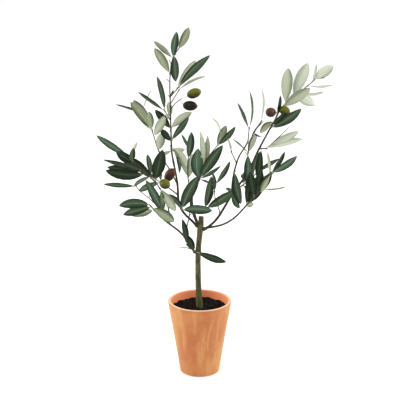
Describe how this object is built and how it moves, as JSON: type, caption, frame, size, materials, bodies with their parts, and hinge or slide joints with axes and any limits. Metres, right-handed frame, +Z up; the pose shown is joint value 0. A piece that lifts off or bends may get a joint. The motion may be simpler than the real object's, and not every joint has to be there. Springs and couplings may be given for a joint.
{
  "type": "potted artificial olive tree",
  "caption": "Small open olive tree in a plain tapered clay pot: a bare leaning stem forks into thin boughs that carry sparse leafy sprays and hanging olives.",
  "frame": {"origin": "centre of the pot's flat underside, on the surface that it stands on", "axes": "+Z up along the pot's axis, -Y towards the front of the plant, +X to the viewer's right"},
  "size_m": [0.442, 0.2618, 0.6652],
  "materials": {
    "clay": "matte",
    "potting_mix": "matte",
    "bark": "matte",
    "foliage": "satin"
  },
  "bodies": {
    "root": {"back_bough": "bark", "back_spray": "foliage", "centre_bough": "bark", "centre_front_spray": "foliage", "centre_left_spray": "foliage", "centre_right_spray": "foliage", "fork_spray": "foliage", "left_back_spray": "foliage", "left_cluster": "foliage", "left_fruit_twig": "foliage", "left_leader_bough": "bark", "left_leader_spray": "foliage", "left_low_bough": "bark", "left_low_spray": "foliage", "left_low_twig": "foliage", "left_side_spray": "foliage", "pot": "clay", "potting_mix": "potting_mix", "right_back_leaves": "foliage", "right_far_spray": "foliage", "right_fork_spray": "foliage", "right_inner_bough": "bark", "right_inner_leaf": "foliage", "right_inner_spray": "foliage", "right_inner_twig": "foliage", "right_leader_bough": "bark", "right_leader_spray": "foliage", "right_low_bough": "bark", "right_low_spray": "foliage", "right_mid_spray": "foliage", "trunk": "bark", "trunk_sprig": "foliage", "trunk_tip_spray": "foliage"}
  },
  "joints": []
}
